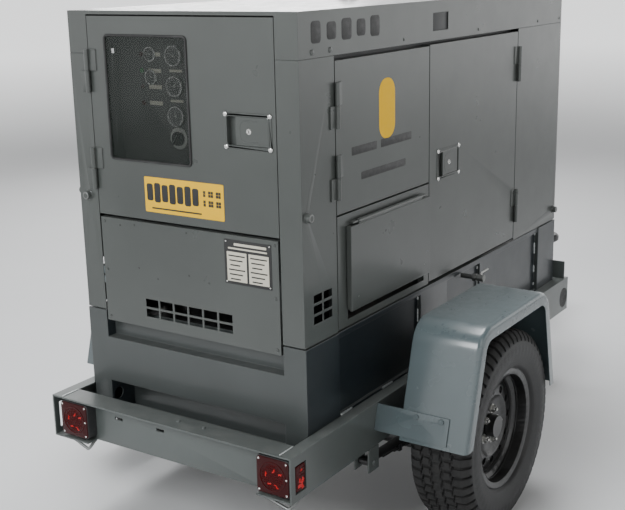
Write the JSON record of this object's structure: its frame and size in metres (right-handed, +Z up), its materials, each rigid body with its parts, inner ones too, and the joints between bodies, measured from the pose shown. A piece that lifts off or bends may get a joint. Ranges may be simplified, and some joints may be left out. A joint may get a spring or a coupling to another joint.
{
  "type": "towable diesel generator",
  "caption": "Sound-proofed diesel generating set in a steel enclosure with hinged doors, on a single-axle trailer with fenders, leaf springs, tail lamps, jack and hitch eye.",
  "frame": {"origin": "on the ground, at the middle of the object's overall length and width", "axes": "+X forward to the hitch eye, +Y to the left, +Z up"},
  "size_m": [3.206, 1.632, 1.822],
  "materials": {
    "paint": "satin warm mid grey",
    "frame_paint": "satin grey",
    "fender_paint": "gloss light grey",
    "steel": "zinc plated",
    "black_steel": "gloss black",
    "black_plastic": "moulded",
    "tyre": "tread rubber",
    "rubber": "satin",
    "glass": "smoked",
    "red_plastic": "ribbed lens",
    "engine": "painted",
    "alternator": "painted",
    "radiator": "painted black"
  },
  "bodies": {
    "chassis": {"rail_right": "frame_paint", "rail_left": "frame_paint", "rear_beam": "frame_paint", "front_beam": "frame_paint", "cross_members": "frame_paint", "drawbars": "frame_paint", "hitch_eye": "black_steel", "tie_loops": "steel", "fender_right": "fender_paint", "fender_left": "fender_paint", "fender_brackets": "steel", "spring_hangers": "frame_paint", "leaf_springs": "black_steel", "lamp_housings": "black_plastic", "lamp_lenses": "red_plastic", "jack_tube": "steel", "base_box": "paint", "fuel_tank": "black_plastic", "drain_valve": "steel", "rear_posts": "paint", "front_posts": "paint", "door_frame": "black_steel", "roof": "paint", "roof_vent": "black_steel", "lifting_eye": "steel", "rear_panel": "paint", "front_grille": "paint", "hinge_pins": "paint", "terminal_panel": "paint", "control_panel": "black_plastic", "engine_block": "engine", "alternator_housing": "alternator", "radiator": "radiator"},
    "axle": {"axle_beam": "black_steel"},
    "wheel_right": {"hub_right": "black_steel", "rim_right": "black_steel", "tyre_right": "tyre"},
    "wheel_left": {"hub_left": "black_steel", "rim_left": "black_steel", "tyre_left": "tyre"},
    "jack_leg": {"jack_leg": "steel"},
    "jack_crank": {"jack_crank": "black_steel"},
    "rear_door": {"rear_door": "paint", "window_gasket": "rubber", "window_glass": "glass", "rear_latch": "paint"},
    "rear_paddle": {"rear_paddle": "paint"},
    "right_rear_door": {"right_rear_door": "paint"},
    "right_front_door": {"right_front_door": "paint", "right_latch": "paint"},
    "right_paddle": {"right_paddle": "paint"},
    "left_rear_door": {"left_rear_door": "paint"},
    "left_front_door": {"left_front_door": "paint", "left_latch": "paint"},
    "left_paddle": {"left_paddle": "paint"},
    "terminal_flap": {"terminal_flap": "paint"},
    "breaker_lever": {"breaker_lever": "black_plastic"},
    "selector_switch": {"selector_switch": "steel"},
    "stop_button": {"stop_button": "red_plastic"},
    "crankshaft": {"crankshaft_set": "engine"}
  },
  "joints": [
    {"name": "axle_travel", "type": "slide", "parent": "chassis", "child": "axle", "axis": [0, 0, 1], "range_m": [-0.03, 0.04], "stiffness_N_per_m": 400000, "springref_m": -0.039, "deforming": ["leaf_springs"]},
    {"name": "wheel_right_spin", "type": "hinge", "parent": "axle", "child": "wheel_right", "pos_m": [-0.757, -0.694, 0.341], "axis": [0, 1, 0], "continuous": true},
    {"name": "wheel_left_spin", "type": "hinge", "parent": "axle", "child": "wheel_left", "pos_m": [-0.757, 0.694, 0.341], "axis": [0, 1, 0], "continuous": true},
    {"name": "jack_extend", "type": "slide", "parent": "chassis", "child": "jack_leg", "axis": [0, 0, 1], "range_m": [-0.08, 0.25]},
    {"name": "jack_crank_turn", "type": "hinge", "parent": "chassis", "child": "jack_crank", "pos_m": [1.183, 0, 0.742], "axis": [0, 0, 1], "range_deg": [-1440, 4500]},
    {"name": "rear_door_swing", "type": "hinge", "parent": "chassis", "child": "rear_door", "pos_m": [-1.456, 0.36, 1.419], "axis": [0, 0, -1], "range_deg": [0, 110]},
    {"name": "rear_paddle_pull", "type": "hinge", "parent": "rear_door", "child": "rear_paddle", "pos_m": [-1.443, -0.328, 1.41], "axis": [0, 0, 1], "range_deg": [0, 35], "stiffness_Nm_per_rad": 0.6, "springref_deg": -5.73},
    {"name": "right_rear_door_swing", "type": "hinge", "parent": "chassis", "child": "right_rear_door", "pos_m": [-1.262, -0.449, 1.373], "axis": [0, 0, -1], "range_deg": [0, 110]},
    {"name": "right_front_door_swing", "type": "hinge", "parent": "chassis", "child": "right_front_door", "pos_m": [0.062, -0.449, 1.1965], "axis": [0, 0, 1], "range_deg": [0, 110]},
    {"name": "right_paddle_pull", "type": "hinge", "parent": "right_front_door", "child": "right_paddle", "pos_m": [-0.457, -0.436, 1.191], "axis": [0, 0, 1], "range_deg": [0, 35], "stiffness_Nm_per_rad": 0.6, "springref_deg": -5.73},
    {"name": "left_rear_door_swing", "type": "hinge", "parent": "chassis", "child": "left_rear_door", "pos_m": [-1.262, 0.449, 1.373], "axis": [0, 0, 1], "range_deg": [0, 110]},
    {"name": "left_front_door_swing", "type": "hinge", "parent": "chassis", "child": "left_front_door", "pos_m": [0.062, 0.449, 1.1965], "axis": [0, 0, -1], "range_deg": [0, 110]},
    {"name": "left_paddle_pull", "type": "hinge", "parent": "left_front_door", "child": "left_paddle", "pos_m": [-0.457, 0.436, 1.191], "axis": [0, 0, -1], "range_deg": [0, 35], "stiffness_Nm_per_rad": 0.6, "springref_deg": -5.73},
    {"name": "terminal_flap_lift", "type": "hinge", "parent": "chassis", "child": "terminal_flap", "pos_m": [-0.956, -0.452, 1.109], "axis": [-1, 0, 0], "range_deg": [0, 90]},
    {"name": "breaker_throw", "type": "hinge", "parent": "chassis", "child": "breaker_lever", "pos_m": [-0.8385, -0.404, 0.95], "axis": [1, 0, 0], "range_deg": [0, 50]},
    {"name": "selector_turn", "type": "hinge", "parent": "chassis", "child": "selector_switch", "pos_m": [-1.387, 0.055, 1.361], "axis": [-1, 0, 0], "range_deg": [-90, 45]},
    {"name": "stop_press", "type": "slide", "parent": "chassis", "child": "stop_button", "axis": [1, 0, 0], "range_m": [0, 0.006], "stiffness_N_per_m": 600, "springref_m": -0.002},
    {"name": "crankshaft_turn", "type": "hinge", "parent": "chassis", "child": "crankshaft", "pos_m": [-1.117, 0, 1.106], "axis": [1, 0, 0], "continuous": true}
  ],
  "couplings": [
    {"joint": "jack_crank_turn", "follows": "jack_extend", "rad_per_m": 314.16}
  ]
}
